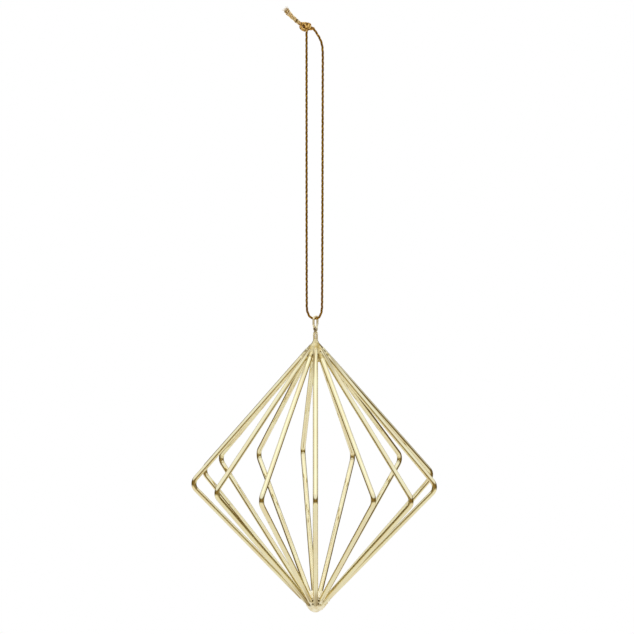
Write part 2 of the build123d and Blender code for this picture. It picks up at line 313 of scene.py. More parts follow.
def ramped(tree, value, low, high, start, end):
    """A value that eases from start to end while the given one goes from low to high."""
    sockets = {"Value": value, "From Min": low, "From Max": high, "To Min": start, "To Max": end}
    return add(tree, "ShaderNodeMapRange", sockets, interpolation_type="SMOOTHSTEP").outputs["Result"]


# Shader groups and materials

def noise_value(tree, place, scale, detail=2.0):
    """Value of a noise texture at a place."""
    sockets = {"Vector": place, "Scale": scale, "Detail": detail}
    return add(tree, "ShaderNodeTexNoise", sockets).outputs["Fac"]


def mixed(tree, share, first, second, blend="MIX"):
    """Colour that goes from the first to the second as the share goes from 0 to 1."""
    sockets = {"Factor": share, COLOUR_A: first, COLOUR_B: second}
    made = add(tree, "ShaderNodeMix", sockets, data_type="RGBA", blend_type=blend)
    return made.outputs[COLOUR_RESULT]


def coordinates(tree, kind):
    """Texture coordinates of one kind."""
    return add(tree, "ShaderNodeTexCoord").outputs[kind]


def carried(tree, name, kind):
    """Attribute that a mesh carries, as a vector or a number."""
    return add(tree, "ShaderNodeAttribute", attribute_name=name).outputs[kind]


def camera_rays(tree):
    """1 for what the camera sees straight away, and 0 for light and reflections."""
    return add(tree, "ShaderNodeLightPath").outputs["Is Camera Ray"]


def shader_group(name, inputs, outputs):
    """Empty shader group with named sockets; gives it, its input sockets and its output node."""
    group = bpy.data.node_groups.new(name, "ShaderNodeTree")
    for label, (kind, value) in inputs.items():
        socket = group.interface.new_socket(label, in_out="INPUT", socket_type=f"NodeSocket{kind}")
        if value is not None:
            socket.default_value = value
    for label in outputs:
        group.interface.new_socket(label, in_out="OUTPUT", socket_type="NodeSocketFloat")
    return group, group.nodes.new("NodeGroupInput").outputs, group.nodes.new("NodeGroupOutput")


def end_group(group, ends, values):
    """Link values to the outputs of a group that have their names."""
    for label, value in values.items():
        group.links.new(value, ends.inputs[label])


def plated_metal_group():
    """Wear of thin satin plating: draw lines along the metal, cloudy tone, and a few dark pits."""
    inputs = {
        "Place": ("Vector", None), "Line Scale": ("Float", 5000.0), "Cloud Scale": ("Float", 90.0),
        "Pit Scale": ("Float", 130.0), "Pit Size": ("Float", 0.055),
    }
    group, given, ends = shader_group("Satin plating", inputs, ("Tone", "Pits", "Lines", "Height"))
    place = given["Place"]
    lines = noise_value(group, vector_calc(group, "MULTIPLY", place, LINE_STRETCH), given["Line Scale"])
    clouds = noise_value(group, place, given["Cloud Scale"], CLOUD_DETAIL)
    cells = add(group, "ShaderNodeTexVoronoi", {"Vector": place, "Scale": given["Pit Scale"]}).outputs
    chance = add(group, "ShaderNodeSeparateColor", {"Color": cells["Color"]}).outputs[0]
    rare = calc(group, "GREATER_THAN", chance, PIT_RARITY)
    hollow = ramped(group, cells["Distance"], 0.0, given["Pit Size"], 1.0, 0.0)
    pits = calc(group, "MULTIPLY", rare, hollow)
    height = calc(group, "SUBTRACT", lines, calc(group, "MULTIPLY", pits, PIT_DEPTH))
    end_group(group, ends, {"Tone": clouds, "Pits": pits, "Lines": lines, "Height": height})
    return group


def foil_yarn_group():
    """Metallic yarn: brown core with foil flecks that come and go along each strand."""
    inputs = {
        "Place": ("Vector", None), "Strand": ("Float", 0.0), "Foil Share": ("Float", 0.3),
        "Patchiness": ("Float", 0.5),
    }
    group, given, ends = shader_group("Foil yarn", inputs, ("Foil", "Tone", "Height"))
    place = given["Place"]
    shift = calc(group, "MULTIPLY", given["Strand"], STRAND_SHIFT)
    shifted = vector_calc(group, "ADD", place, upright(group, shift))
    stretched = vector_calc(group, "MULTIPLY", shifted, FLECK_STRETCH)
    flecks = noise_value(group, stretched, FLECK_SCALE, FLECK_DETAIL)
    along = vector_calc(group, "MULTIPLY", place, (0.0, 0.0, 1.0))
    patches = calc(group, "SUBTRACT", noise_value(group, along, PATCH_SCALE, 0.0), 0.5)
    shown = calc(group, "MULTIPLY_ADD", patches, given["Patchiness"], flecks)
    level = calc(group, "SUBTRACT", NO_FOIL, calc(group, "MULTIPLY", given["Foil Share"], FOIL_REACH))
    foil = ramped(group, calc(group, "SUBTRACT", shown, level), -FLECK_EDGE, FLECK_EDGE, 0.0, 1.0)
    tone = noise_value(group, shifted, YARN_TONE_SCALE)
    grain = noise_value(group, vector_calc(group, "MULTIPLY", shifted, GRAIN_STRETCH), GRAIN_SCALE)
    end_group(group, ends, {"Foil": foil, "Tone": tone, "Height": grain})
    return group


def new_material(name, uniform):
    """Material whose named inputs are the same all over; gives it, its tree and its shader."""
    material = bpy.data.materials.new(name)
    material.use_nodes = True
    surface = material.node_tree.nodes["Principled BSDF"]
    for label, value in uniform.items():
        surface.inputs[label].default_value = value
    return material, material.node_tree, surface


def set_relief(tree, surface, height, strength, distance):
    """Bump on a material's surface."""
    sockets = {"Height": height, "Strength": strength, "Distance": distance * MM}
    tree.links.new(add(tree, "ShaderNodeBump", sockets).outputs["Normal"], surface.inputs["Normal"])


def tint_and_shade_streaks(tree, where):
    """Share of heat tint and painted shade: streaks along the wires that darken towards the brazed ends,
    where the crowded wires shade and reflect each other.
    """
    height = parts(tree, coordinates(tree, "Object"))["Z"]
    middle = (UPPER_APEX_Z + LOWER_APEX_Z) / 2 * MM
    reach = calc(tree, "ABSOLUTE", calc(tree, "SUBTRACT", height, middle))
    near_end = ramped(tree, reach, TINT_AND_SHADE_START * MM, TINT_AND_SHADE_FULL * MM, 0.0, TINT_AND_SHADE_SHARE)
    streaks = noise_value(tree, vector_calc(tree, "MULTIPLY", where, STREAK_STRETCH), STREAK_SCALE)
    return calc(tree, "MULTIPLY", near_end, ramped(tree, streaks, *STREAK_EDGE, 0.0, 1.0))


def metal(name, plating, where, base, shade, roughness, bump, scales=None, flux_and_shade=None, heat_tint_and_shade=None):
    """Gold-coloured metal: worn plating of a base colour and its shade; it may add heat tint with painted
    shade, and flux with painted shade.
    """
    material, tree, surface = new_material(name, {"Metallic": 1.0})
    if where == "unbent":
        place = carried(tree, "unbent", "Vector")
    else:
        place = coordinates(tree, "Object")
    wear = add(tree, "ShaderNodeGroup", {"Place": place} | (scales or {}), node_tree=plating).outputs
    colour = mixed(tree, ramped(tree, wear["Tone"], *CLOUD_EDGE, 0.0, 1.0), base, shade)
    colour = mixed(tree, wear["Pits"], colour, PIT_COLOUR)
    # heat tint and painted shade towards the joints
    if heat_tint_and_shade:
        colour = mixed(tree, tint_and_shade_streaks(tree, place), colour, heat_tint_and_shade)
    # spots of dark flux and painted shade
    if flux_and_shade:
        colour = mixed(tree, carried(tree, "flux_and_shade", "Fac"), colour, flux_and_shade)
    tree.links.new(colour, surface.inputs["Base Color"])
    satin = ramped(tree, wear["Lines"], *LINE_EDGE, *roughness)
    dull = calc(tree, "ADD", satin, calc(tree, "MULTIPLY", wear["Pits"], PIT_ROUGHNESS))
    tree.links.new(dull, surface.inputs["Roughness"])
    set_relief(tree, surface, wear["Height"], bump, METAL_RELIEF)
    return material


def yarn(name, group, foil_share, patchiness, core, core_light, foil, fuzz):
    """Twisted metallic yarn of one foil share, which comes and goes in patches along it."""
    material, tree, surface = new_material(name, {
        "Metallic": 1.0, "Specular Tint": YARN_RIM, "Sheen Weight": YARN_SHEEN, "Sheen Tint": fuzz,
        "Sheen Roughness": SHEEN_ROUGHNESS,
    })
    sockets = {
        "Place": carried(tree, "unbent", "Vector"), "Strand": carried(tree, "strand", "Fac"),
        "Foil Share": foil_share, "Patchiness": patchiness,
    }
    look = add(tree, "ShaderNodeGroup", sockets, node_tree=group).outputs
    thread = mixed(tree, ramped(tree, look["Tone"], *YARN_TONE_EDGE, 0.0, 1.0), core, core_light)
    tree.links.new(mixed(tree, look["Foil"], thread, foil), surface.inputs["Base Color"])
    tree.links.new(ramped(tree, look["Foil"], 0.0, 1.0, *YARN_ROUGHNESS), surface.inputs["Roughness"])
    set_relief(tree, surface, look["Height"], YARN_BUMP, YARN_RELIEF)
    return material


plating = plated_metal_group()
# The wires darken near the joints with heat tint and painted shade
wire_gold = metal(
    "wire_satin_gold", plating, "unbent", base=(0.89, 0.815, 0.5, 1.0), shade=(0.865, 0.745, 0.435, 1.0),
    roughness=(0.03, 0.06), bump=0.03, heat_tint_and_shade=HEAT_TINT_AND_SHADE,
)
# The eye carries a spot of painted shadow where the twist's wires cross
eye_gold = metal(
    "eye_satin_gold", plating, "unbent", base=(1.0, 0.92, 0.64, 1.0), shade=(0.96, 0.82, 0.5, 1.0),
    roughness=(0.5, 0.6), bump=0.06, scales={"Line Scale": 8000.0}, flux_and_shade=EYE_SHADOW_COLOUR,
)
# The brazes carry spots of dark flux and painted shade in the hollows between the ribs' ends
braze_gold = metal(
    "braze_gold", plating, "object", base=(0.79, 0.68, 0.365, 1.0), shade=(0.48, 0.35, 0.1, 1.0),
    roughness=BRAZE_ROUGHNESS, bump=BRAZE_BUMP, scales=BRAZE_SCALES, flux_and_shade=FLUX_AND_SHADE_COLOUR,
)
braze_pale = metal(
    "braze_pale_gold", plating, "object", base=(0.97, 0.895, 0.64, 1.0), shade=(0.8, 0.67, 0.38, 1.0),
    roughness=BRAZE_ROUGHNESS, bump=BRAZE_BUMP, scales=BRAZE_SCALES, flux_and_shade=FLUX_AND_SHADE_COLOUR,
)
foil_yarn = foil_yarn_group()
cord_bronze = yarn(
    "cord_bronze", foil_yarn, foil_share=0.28, patchiness=0.4, core=(0.21, 0.09, 0.003, 1.0),
    core_light=(0.45, 0.23, 0.012, 1.0), foil=(0.95, 0.6, 0.1, 1.0), fuzz=(0.95, 0.55, 0.06, 1.0),
)
knot_gold = yarn(
    "knot_gold", foil_yarn, foil_share=0.54, patchiness=1.8, core=(0.11, 0.04, 0.002, 1.0),
    core_light=(0.3, 0.13, 0.012, 1.0), foil=(1.0, 0.7, 0.24, 1.0), fuzz=(0.95, 0.5, 0.06, 1.0),
)
tail_gold = yarn(
    "tail_gold", foil_yarn, foil_share=0.84, patchiness=1.8, core=(0.2, 0.1, 0.012, 1.0),
    core_light=(0.5, 0.32, 0.08, 1.0), foil=(1.0, 0.84, 0.48, 1.0), fuzz=(0.95, 0.65, 0.2, 1.0),
)


# Geometry trees

def geometry_tree(name, inputs):
    """Empty geometry tree with named inputs; gives the tree and its input sockets."""
    tree = bpy.data.node_groups.new(name, "GeometryNodeTree")
    tree.is_modifier = True
    for label, kind in inputs.items():
        tree.interface.new_socket(label, in_out="INPUT", socket_type=f"NodeSocket{kind}")
    tree.interface.new_socket("Geometry", in_out="OUTPUT", socket_type="NodeSocketGeometry")
    return tree, tree.nodes.new("NodeGroupInput").outputs


def end_tree(tree, geometry, material):
    """Close a geometry tree: real meshes, smooth shading and one material."""
    real = add(tree, "GeometryNodeRealizeInstances", {"Geometry": geometry}).outputs[0]
    smooth = add(tree, "GeometryNodeSetShadeSmooth", {"Geometry": real}).outputs[0]
    painted = add(tree, "GeometryNodeSetMaterial", {"Geometry": smooth, "Material": material}).outputs[0]
    add(tree, "NodeGroupOutput", {"Geometry": painted})


def captured(tree, geometry, kind, value):
    """Geometry that carries a value along, and the value that it carries."""
    keeper = tree.nodes.new("GeometryNodeCaptureAttribute")
    keeper.capture_items.new(kind, "Kept")
    tree.links.new(geometry, keeper.inputs["Geometry"])
    tree.links.new(value, keeper.inputs["Kept"])
    return keeper.outputs["Geometry"], keeper.outputs["Kept"]


def stored(tree, geometry, name, value, kind):
    """Geometry whose points carry a named attribute for its material."""
    sockets = {"Geometry": geometry, "Name": name, "Value": value}
    return add(tree, "GeometryNodeStoreNamedAttribute", sockets, data_type=kind).outputs[0]


def moved(tree, geometry, **sockets):
    """Geometry with points that are set to a position or moved by an offset."""
    return add(tree, "GeometryNodeSetPosition", {"Geometry": geometry} | sockets).outputs[0]


def position(tree):
    """Place of each point."""
    return add(tree, "GeometryNodeInputPosition").outputs[0]


def run_along(tree, kind="Length"):
    """How far along its curve each point lies, as a length or as a factor from 0 to 1."""
    return add(tree, "GeometryNodeSplineParameter").outputs[kind]


def route_curve(tree, given):
    """Curve of the route that a tree is given."""
    return add(tree, "GeometryNodeObjectInfo", {"Object": given["Route"]}).outputs["Geometry"]


def stepped(tree, curve, step):
    """A curve with a point at every step along it."""
    sockets = {"Curve": curve, "Length": step}
    return add(tree, "GeometryNodeResampleCurve", sockets, mode="LENGTH").outputs[0]


def swept(tree, curve, radius, sides, scale=1.0, start=0.0):
    """Round section along a curve. Points keep their unbent place: x and y across, z along from a start."""
    line, along = captured(tree, curve, "FLOAT", run_along(tree))
    ring = {"Resolution": sides, "Radius": radius}
    circle = add(tree, "GeometryNodeCurvePrimitiveCircle", ring).outputs["Curve"]
    section, across = captured(tree, circle, "VECTOR", position(tree))
    sweep = {"Curve": line, "Profile Curve": section, "Scale": scale, "Fill Caps": True}
    tube = add(tree, "GeometryNodeCurveToMesh", sweep).outputs["Mesh"]
    unbent = vector_calc(tree, "ADD", across, upright(tree, calc(tree, "ADD", along, start)))
    return stored(tree, tube, "unbent", unbent, "FLOAT_VECTOR")


def rounded_tips(tree, reach):
    """Share of the full section that is left near the two ends of a curve, rounded over a reach."""
    run = run_along(tree)
    whole = add(tree, "GeometryNodeSplineLength").outputs["Length"]
    inward = calc(tree, "MINIMUM", run, calc(tree, "SUBTRACT", whole, run))
    share = calc(tree, "MINIMUM", calc(tree, "DIVIDE", inward, reach), 1.0)
    bulge = calc(tree, "SQRT", calc(tree, "MULTIPLY", share, calc(tree, "SUBTRACT", 2.0, share)))
    return calc(tree, "MAXIMUM", bulge, TIP_LEAST)


def rib_tree():
    """One bent wire between its two tips, with rounded ends and the slight wander of hand bending."""
    tree, given = geometry_tree("Bent rib", {
        "Upper Tip": "Vector", "Elbow": "Vector", "Lower Tip": "Vector", "Bend Radius": "Float",
        "Step": "Float", "Wire Radius": "Float", "Sides": "Int", "Tip Round": "Float", "Wander": "Float",
        "Seed": "Float", "Material": "Material",
    })
    ends = {"Count": 3, "Start Location": given["Upper Tip"], "Offset": given["Lower Tip"]}
    straight = add(tree, "GeometryNodeMeshLine", ends, mode="END_POINTS").outputs[0]
    middle = calc(tree, "COMPARE", add(tree, "GeometryNodeInputIndex").outputs[0], 1.0, 0.5)
    corner = moved(tree, straight, Selection=middle, Position=given["Elbow"])
    bent = add(tree, "GeometryNodeMeshToCurve", {"Mesh": corner}).outputs[0]
    bend = {"Curve": bent, "Count": ELBOW_POINTS, "Radius": given["Bend Radius"]}
    rounded = add(tree, "GeometryNodeFilletCurve", bend, mode="POLY").outputs[0]
    line = stepped(tree, rounded, given["Step"])
    hand = {"Vector": position(tree), "W": given["Seed"], "Scale": WANDER_SCALE}
    drift = add(tree, "ShaderNodeTexNoise", hand, noise_dimensions="4D").outputs["Color"]
    offset = scaled(tree, vector_calc(tree, "SUBTRACT", drift, (0.5, 0.5, 0.5)), given["Wander"])
    hand_bent = moved(tree, line, Offset=offset)
    tips = rounded_tips(tree, given["Tip Round"])
    wire = swept(tree, hand_bent, given["Wire Radius"], given["Sides"], tips, given["Seed"])
    end_tree(tree, wire, given["Material"])
    return tree


def wire_tree():
    """One wire along a route, with rounded ends."""
    tree, given = geometry_tree("Wire on a route", {
        "Route": "Object", "Step": "Float", "Wire Radius": "Float", "Sides": "Int", "Tip Round": "Float",
        "Material": "Material",
    })
    line = stepped(tree, route_curve(tree, given), given["Step"])
    tips = rounded_tips(tree, given["Tip Round"])
    wire = swept(tree, line, given["Wire Radius"], given["Sides"], tips)
    end_tree(tree, wire, given["Material"])
    return tree


def wound(tree, curve, count, offset, pitch):
    """Copies of a curve that wind round it side by side, and the number of each copy."""
    amount = {"Geometry": curve, "Amount": count}
    copies = add(tree, "GeometryNodeDuplicateElements", amount, domain="SPLINE").outputs
    number = copies["Duplicate Index"]
    start = calc(tree, "DIVIDE", number, count)
    turns = calc(tree, "ADD", calc(tree, "DIVIDE", run_along(tree), pitch), start)
    angle = calc(tree, "MULTIPLY", turns, 2 * pi)
    normal = add(tree, "GeometryNodeInputNormal").outputs["Normal"]
    tangent = add(tree, "GeometryNodeInputTangent").outputs[0]
    side = vector_calc(tree, "CROSS_PRODUCT", tangent, normal)
    out = scaled(tree, normal, calc(tree, "COSINE", angle))
    swing = vector_calc(tree, "ADD", out, scaled(tree, side, calc(tree, "SINE", angle)))
    return moved(tree, copies["Geometry"], Offset=scaled(tree, swing, offset)), number


def cord_tree():
    """Twisted cord along a route: plies wind round each other, each of strands that wind the other way."""
    tree, given = geometry_tree("Twisted cord", {
        "Route": "Object", "Step": "Float", "Plies": "Int", "Ply Offset": "Float", "Ply Pitch": "Float",
        "Strands": "Int", "Strand Offset": "Float", "Strand Pitch": "Float", "Strand Radius": "Float",
        "Flare": "Float", "Material": "Material",
    })
    line = stepped(tree, route_curve(tree, given), given["Step"])
    opening = ramped(tree, run_along(tree, "Factor"), FLARE_START, 1.0, 1.0, given["Flare"])
    ply_offset = calc(tree, "MULTIPLY", given["Ply Offset"], opening)
    plies, ply = wound(tree, line, given["Plies"], ply_offset, given["Ply Pitch"])
    strand_offset = calc(tree, "MULTIPLY", given["Strand Offset"], opening)
    strands, strand = wound(tree, plies, given["Strands"], strand_offset, given["Strand Pitch"])
    tube = swept(tree, strands, given["Strand Radius"], STRAND_SIDES)
    number = calc(tree, "ADD", calc(tree, "MULTIPLY", ply, given["Strands"]), strand)
    end_tree(tree, stored(tree, tube, "strand", number, "FLOAT"), given["Material"])
    return tree


def random_vector(tree, seed):
    """Random vector for each point, whose parts go from -1 to 1."""
    limits = {"Min": (-1.0, -1.0, -1.0), "Max": (1.0, 1.0, 1.0), "Seed": seed}
    return add(tree, "FunctionNodeRandomValue", limits, data_type="FLOAT_VECTOR").outputs[0]


def random_number(tree, seed, low, high):
    """Random number for each point."""
    limits = {NUMBER_MIN: low, NUMBER_MAX: high, "Seed": seed}
    return add(tree, "FunctionNodeRandomValue", limits).outputs[NUMBER_RESULT]


def fray_tree():
    """Loose fibres that fan out of the end of a route."""
    tree, given = geometry_tree("Frayed end", {
        "Route": "Object", "Fibres": "Int", "Fibre Length": "Float", "Fibre Radius": "Float",
        "Spread": "Float", "Root": "Float", "Seed": "Int", "Material": "Material",
    })
    seed = given["Seed"]
    longest = given["Fibre Length"]
    sample = {"Curves": route_curve(tree, given), "Factor": FIBRE_START}
    end = add(tree, "GeometryNodeSampleCurve", sample).outputs
    scatter = scaled(tree, random_vector(tree, seed), given["Root"])
    roots = {"Count": given["Fibres"], "Position": vector_calc(tree, "ADD", end["Position"], scatter)}
    points = add(tree, "GeometryNodePoints", roots).outputs[0]
    curl = {"Resolution": FIBRE_POINTS} | FIBRE_CURL
    hair = add(tree, "GeometryNodeCurveQuadraticBezier", curl).outputs[0]
    fibre = swept(tree, hair, calc(tree, "DIVIDE", given["Fibre Radius"], longest), FIBRE_SIDES)
    lean = scaled(tree, random_vector(tree, calc(tree, "ADD", seed, 1)), given["Spread"])
    heading = vector_calc(tree, "ADD", end["Tangent"], lean)
    turn = add(tree, "FunctionNodeAlignRotationToVector", {"Vector": heading}, axis="Z").outputs[0]
    shortest = calc(tree, "MULTIPLY", longest, FIBRE_SHORTEST)
    size = random_number(tree, calc(tree, "ADD", seed, 2), shortest, longest)
    fan = {"Points": points, "Instance": fibre, "Rotation": turn, "Scale": size}
    end_tree(tree, add(tree, "GeometryNodeInstanceOnPoints", fan).outputs[0], given["Material"])
    return tree


# Objects and meshes

def link(made):
    """Put a new object in the scene."""
    bpy.context.scene.collection.objects.link(made)
    return made


def mesh_from(mass, name):
    """Mesh of a finished bmesh."""
    mesh = bpy.data.meshes.new(name)
    mass.to_mesh(mesh)
    mass.free()
    return mesh


def evaluated_mesh(made):
    """Mesh that an object's curve or modifiers give."""
    bpy.context.view_layer.update()
    evaluated = made.evaluated_get(bpy.context.evaluated_depsgraph_get())
    return bpy.data.meshes.new_from_object(evaluated)


def plain_mesh(holder):
    """Give an object its evaluated mesh in place of its modifiers."""
    mesh = evaluated_mesh(holder)
    holder.modifiers.clear()
    holder.data = mesh
    return holder


def made_by(tree, name, values):
    """Plain mesh object that a geometry tree makes from its named inputs."""
    holder = link(bpy.data.objects.new(name, bpy.data.meshes.new(name)))
    modifier = holder.modifiers.new(tree.name, "NODES")
    modifier.node_group = tree
    for socket in tree.interface.items_tree:
        if socket.in_out == "INPUT":
            modifier[socket.identifier] = values[socket.name]
    return plain_mesh(holder)


def route(name, points):
    """Smooth line with a route's points as its control points."""
    curve = bpy.data.curves.new(name, "CURVE")
    curve.dimensions = "3D"
    spline = curve.splines.new("NURBS")
    spline.points.add(len(points) - 1)
    for control, point in zip(spline.points, points):
        control.co = (*(Vector(point) * MM), 1.0)
    spline.order_u = 3
    spline.use_endpoint_u = True
    spline.resolution_u = ROUTE_FINENESS
    return link(bpy.data.objects.new(name, curve))


def route_points(line):
    """Points along a route's smooth line, in metres."""
    mesh = evaluated_mesh(line)
    points = [vertex.co.copy() for vertex in mesh.vertices]
    bpy.data.meshes.remove(mesh)
    return points


# Ribs

def seat_bearing(rib):
    """Bearing of the seats of a rib's two tips, in degrees."""
    bearing, _, seat_turn = RIBS[rib % len(RIBS)]
    return bearing + seat_turn


def seat_gap(first, second):
    """Angle between the seats of two ribs, in degrees."""
    turn = abs(seat_bearing(first) - seat_bearing(second))
    return min(turn, 360 - turn)


def tip_radius(rib):
    """Distance from the axis at which a rib is cut off: every second one runs on between its neighbours."""
    stride = 1 + (rib + 1) % 2
    nearest = min(seat_gap(rib, rib - stride), seat_gap(rib, rib + stride))
    return (WIRE_DIAMETER + CROWDING_GAP) / (2 * sin(radians(nearest / 2)))


def outward(bearing):
    """Level direction away from the axis at a bearing."""
    return Vector((sin(radians(bearing)), -cos(radians(bearing)), 0))


def rib_corner(rib):
    """Corner of a rib's elbow, before it is rounded."""
    bearing, lift, _ = RIBS[rib]
    return outward(bearing) * ELBOW_RADIUS + Vector((0, 0, ELBOW_Z + lift))


def rib_tip(rib, apex_z):
    """End of a rib's leg in its seat, as high as the line from its corner to the apex is there."""
    radius = tip_radius(rib)
    height = apex_z + (rib_corner(rib).z - apex_z) * radius / ELBOW_RADIUS
    return outward(seat_bearing(rib)) * radius + Vector((0, 0, height))


def build_ribs():
    """Every rib by the name of its node."""
    tree = rib_tree()
    made = {}
    for rib in range(len(RIBS)):
        node = f"rib_{rib + 1:02d}"
        made[node] = made_by(tree, f"wire_{node}", {
            "Upper Tip": rib_tip(rib, UPPER_APEX_Z) * MM, "Elbow": rib_corner(rib) * MM,
            "Lower Tip": rib_tip(rib, LOWER_APEX_Z) * MM, "Bend Radius": ELBOW_BEND * MM,
            "Step": RIB_STEP * MM, "Wire Radius": WIRE_DIAMETER / 2 * MM, "Sides": RIB_SIDES,
            "Tip Round": TIP_ROUND * MM, "Wander": RIB_WANDER * MM, "Seed": float(rib),
            "Material": wire_gold,
        })
    return made


# Braze

def braze_spots(spots, apex_z, beyond):
    """Middle and size of each spot of dark flux and painted shade on a braze, just outside the ribs'
    centrelines.
    """
    slope = abs(apex_z - ELBOW_Z) / ELBOW_RADIUS
    placed = []
    for bearing, radius, size in spots:
        height = apex_z - beyond * (slope * radius - SPOT_LIFT)
        placed.append((outward(bearing) * radius + Vector((0, 0, height)), size))
    return placed


def stain_and_shade(made, spots):
    """Mark on each point of an object, from 0 to 1, how dark the spots of flux and painted shade make it.
    """
    flux_and_shade = made.data.attributes.new("flux_and_shade", "FLOAT", "POINT")
    for vertex, mark in zip(made.data.vertices, flux_and_shade.data):
        place = vertex.co / MM
        shares = [(1 - (place - middle).length / size) / SPOT_EDGE for middle, size in spots]
        mark.value = min(max(0.0, max(shares)), 1.0)


def turn_core(mass, apex, beyond, section):
    """Core of a braze, turned from its half section."""
    places = [apex + Vector((radius, 0, beyond * height)) for radius, height in section]
    outline = [mass.verts.new(place * MM) for place in places]
    edges = [mass.edges.new(pair) for pair in zip(outline, outline[1:])]
    bmesh.ops.spin(mass, geom=outline + edges, cent=(0, 0, 0), axis=(0, 0, 1), angle=2 * pi,
                   steps=LATHE_STEPS, use_merge=True)
    bmesh.ops.remove_doubles(mass, verts=mass.verts, dist=WELD_REACH * MM)


def add_stubs(mass, apex_z):
    """Braze that follows each rib for a short way from its tip."""
    for rib in range(len(RIBS)):
        tip = rib_tip(rib, apex_z)
        along = (rib_corner(rib) - tip).normalized()
        middle = tip + along * (STUB_LENGTH / 2 - STUB_INSIDE)
        place = Matrix.Translation(middle * MM) @ along.to_track_quat("Z", "Y").to_matrix().to_4x4()
        bmesh.ops.create_cone(mass, cap_ends=True, segments=STUB_SIDES, radius1=STUB_START * MM,
                              radius2=WIRE_DIAMETER / 2 * STUB_SHARE * MM, depth=STUB_LENGTH * MM,
                              matrix=place)


def add_beads(mass, apex, beyond, beads):
    """Round beads of solder."""
    for bearing, radius, height, size in beads:
        centre = apex + outward(bearing) * radius + Vector((0, 0, beyond * height))
        place = Matrix.Translation(centre * MM)
        bmesh.ops.create_icosphere(mass, subdivisions=BEAD_SPLITS, radius=size * MM, matrix=place)


def melt(made):
    """Run the lumps of a braze together and leave its surface slightly uneven."""
    melted = made.modifiers.new("Melted", "REMESH")
    melted.mode = "VOXEL"
    melted.voxel_size = BRAZE_VOXEL * MM
    melted.use_smooth_shade = True
    flowed = made.modifiers.new("Flowed", "SMOOTH")
    flowed.factor = BRAZE_FLOW
    flowed.iterations = BRAZE_SMOOTHING
    plain_mesh(made)
    normals = [vertex.normal.copy() for vertex in made.data.vertices]
    for vertex, normal in zip(made.data.vertices, normals):
        lump = noise.noise(vertex.co / (LUMP_SIZE * MM))
        vertex.co += normal * lump * BRAZE_LUMPS * MM


def build_braze(name, apex_z, beyond, section, beads, spots, material):
    """Braze run in round the ends of the ribs: a turned core, wire stubs and beads, melted together."""
    apex = Vector((0, 0, apex_z))
    mass = bmesh.new()
    turn_core(mass, apex, beyond, section)
    add_stubs(mass, apex_z)
    add_beads(mass, apex, beyond, beads)
    bmesh.ops.recalc_face_normals(mass, faces=mass.faces)
    made = link(bpy.data.objects.new(name, mesh_from(mass, name)))
    melt(made)
    # dark flux and painted shade in the hollows between the ribs' ends
    stain_and_shade(made, braze_spots(spots, apex_z, beyond))
    made.data.materials.append(material)
    return made


# Hanging eye

def eye_point(radius, quarter, z):
    """Point of the eye's front half, turned back from the front leg by quarter turns."""
    angle = radians(270 - EYE_TURN) - quarter * pi / 2
    return (radius * cos(angle), radius * sin(angle), z)


def build_eye():
    """One wire, up one side of the twist, over the arch and down the other side."""
    twist_z = ARCH_Z - EYE_LEG - EYE_TAPER
    front = [eye_point(EYE_SPAN / 2, 0, ARCH_Z - drop) for drop in (0, EYE_SPAN / 2, EYE_LEG)]
    for quarter in range(TWIST_QUARTERS + 1):
        front.append(eye_point(TWIST_REACH, quarter, twist_z - quarter * QUARTER_DROP))
    front.append(eye_point(END_REACH, TWIST_QUARTERS, EYE_END_Z))
    rear = [(-x, -y, z) for x, y, z in front]
    line = route("eye_line", front[::-1] + rear)
    made = made_by(wire_tree(), "eye_wire", {
        "Route": line, "Step": EYE_STEP * MM, "Wire Radius": EYE_WIRE / 2 * MM, "Sides": EYE_SIDES,
        "Tip Round": EYE_WIRE / 4 * MM, "Material": eye_gold,
    })
    bpy.data.objects.remove(line)
    # painted shadow at the twist's crossing
    stain_and_shade(made, [(Vector(EYE_SHADOW_SPOT), EYE_SHADOW_SIZE)])
    return made


# Cord, knot and frayed ends

def knot_route():
    """Control points of the knot: its entry, its winding and its exit."""
    across = Vector((1, 0, 0))
    up = Vector((0, -sin(radians(KNOT_LEAN)), cos(radians(KNOT_LEAN))))
    back = up.cross(across)
    winding = []
    for point in range(KNOT_POINTS):
        angle = radians(KNOT_OPENING + (360 - 2 * KNOT_OPENING) * point / (KNOT_POINTS - 1))
        reach = KNOT_RING + KNOT_WIND * cos(KNOT_THROUGH * angle)
        around = KNOT_ROUND * angle + pi / 2
        height = -KNOT_WIND * sin(KNOT_THROUGH * angle)
        winding.append((reach * cos(around), reach * sin(around), height))
    local = [*KNOT_ENTRY, *winding, *KNOT_EXIT]
    return [Vector(KNOT_CENTRE) + across * x + back * y + up * z for x, y, z in local]


def build_cord(tree, name, line, material, plies=PLIES, offset=PLY_OFFSET, pitch=PLY_PITCH, flare=1.0):
    """Twisted cord along a line."""
    return made_by(tree, name, {
        "Route": line, "Step": CORD_STEP * MM, "Plies": plies, "Ply Offset": offset * MM,
        "Ply Pitch": pitch * MM, "Strands": STRANDS, "Strand Offset": STRAND_OFFSET * MM,
        "Strand Pitch": -STRAND_PITCH * MM, "Strand Radius": STRAND_RADIUS * MM, "Flare": flare,
        "Material": material,
    })


def build_fray(tree, name, line, seed):
    """Loose fibres at the end of a line."""
    return made_by(tree, name, {
        "Route": line, "Fibres": FIBRES, "Fibre Length": FIBRE_LENGTH * MM,
        "Fibre Radius": FIBRE_RADIUS * MM, "Spread": FIBRE_SPREAD, "Root": FIBRE_ROOT * MM, "Seed": seed,
        "Material": tail_gold,
    })


